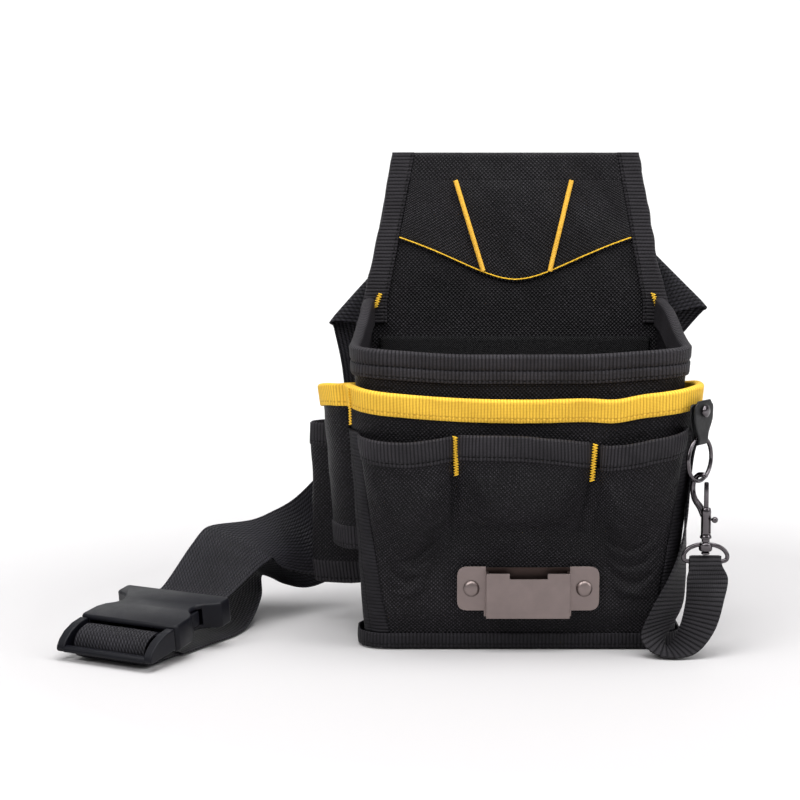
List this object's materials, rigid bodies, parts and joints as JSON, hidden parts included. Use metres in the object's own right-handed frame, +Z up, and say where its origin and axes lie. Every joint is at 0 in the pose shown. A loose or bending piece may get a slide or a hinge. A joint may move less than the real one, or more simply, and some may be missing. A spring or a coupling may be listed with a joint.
{
  "type": "electrician tool pouch",
  "caption": "Waist-worn fabric tool pouch with open main bag, front pockets, side sleeves, a tape clip, a snap hook on a strap and a webbing belt with a side-release buckle.",
  "frame": {"origin": "middle of the bag's base, on the surface it stands on", "axes": "+X to the right as the wearer's pouch is seen from the front, -Y out of the front pockets, +Z up"},
  "size_m": [0.3974, 0.188, 0.293],
  "materials": {
    "polyester": "coarse coated polyester twill, black",
    "tape": "ribbed black webbing tape",
    "yellow": "ribbed yellow webbing tape",
    "piping": "orange-yellow piping cord",
    "clip_steel": "satin nickel-plated steel",
    "backing": "dark plated steel",
    "gunmetal": "polished gunmetal-coloured plating",
    "plastic": "matte dark blue-black acetal",
    "board": "stiff board sewn inside the base"
  },
  "bodies": {
    "pouch": {"base_panel": "polyester", "front_panel": "polyester", "side_gusset_left": "polyester", "side_gusset_right": "polyester", "outer_pocket_panel": "polyester", "side_sleeve_front": "polyester", "side_sleeve_rear": "polyester", "front_pocket_left": "polyester", "front_pocket_centre": "polyester", "front_pocket_right": "polyester", "back_panel": "polyester", "inner_pocket_panel": "polyester", "top_hem": "polyester", "upper_panel": "polyester", "belt_tunnel": "polyester", "rim_binding": "tape", "sleeve_front_hem": "tape", "sleeve_rear_hem": "tape", "sleeve_rear_binding": "tape", "front_pocket_left_binding": "tape", "front_pocket_centre_binding": "tape", "front_pocket_right_binding": "tape", "corner_binding_left": "tape", "corner_binding_right": "tape", "bottom_binding": "tape", "edge_binding_left": "tape", "edge_binding_right": "tape", "hanger_tab": "tape", "tape_strap": "tape", "belt_left_run": "tape", "belt_right_run": "tape", "yellow_binding": "yellow", "piping_left": "piping", "piping_right": "piping", "tape_clip_plate": "clip_steel", "clip_rivet_left": "clip_steel", "clip_rivet_right": "clip_steel", "clip_backing_plate": "backing", "hanger_rivet": "gunmetal", "buckle_female": "plastic", "base_board": "board"},
    "ring": {"clip_ring": "gunmetal"},
    "swivel": {"swivel_eye": "gunmetal"},
    "hook": {"hook_body": "gunmetal", "bolt_spring": "gunmetal"},
    "bolt": {"hook_bolt": "gunmetal"},
    "male": {"buckle_male": "plastic", "belt_adjuster_end": "tape"},
    "prong_left": {"prong_left": "plastic"},
    "prong_right": {"prong_right": "plastic"}
  },
  "joints": [
    {"name": "ring_swing", "type": "hinge", "parent": "pouch", "child": "ring", "pos_m": [0.10506, -0.05574, 0.1295], "axis": [-0.6159, -0.7878, 0], "range_deg": [0, 12]},
    {"name": "clip_swing", "type": "hinge", "parent": "pouch", "child": "swivel", "pos_m": [0.10506, -0.05574, 0.1295], "axis": [-0.6159, -0.7878, 0], "range_deg": [0, 12], "deforming": ["tape_strap"]},
    {"name": "hook_swivel", "type": "hinge", "parent": "swivel", "child": "hook", "pos_m": [0.109, -0.05882, 0.064], "axis": [0, 0, 1], "range_deg": [-12, 12]},
    {"name": "bolt_slide", "type": "slide", "parent": "hook", "child": "bolt", "axis": [0, 0, -1], "range_m": [0, 0.007], "stiffness_N_per_m": 250, "springref_m": -0.004, "deforming": ["bolt_spring"]},
    {"name": "buckle_release", "type": "slide", "parent": "pouch", "child": "male", "axis": [-0.4801, -0.8661, -0.1392], "range_m": [0, 0.038]},
    {"name": "prong_left_squeeze", "type": "hinge", "parent": "male", "child": "prong_left", "pos_m": [-0.24817, -0.05765, 0.0155], "axis": [0.0675, 0.1217, -0.9903], "range_deg": [0, 6], "stiffness_Nm_per_rad": 0.05},
    {"name": "prong_right_squeeze", "type": "hinge", "parent": "male", "child": "prong_right", "pos_m": [-0.21301, -0.07713, 0.0155], "axis": [-0.0675, -0.1217, 0.9903], "range_deg": [0, 6], "stiffness_Nm_per_rad": 0.05}
  ],
  "couplings": [
    {"joint": "ring_swing", "follows": "clip_swing", "ratio": 1}
  ]
}
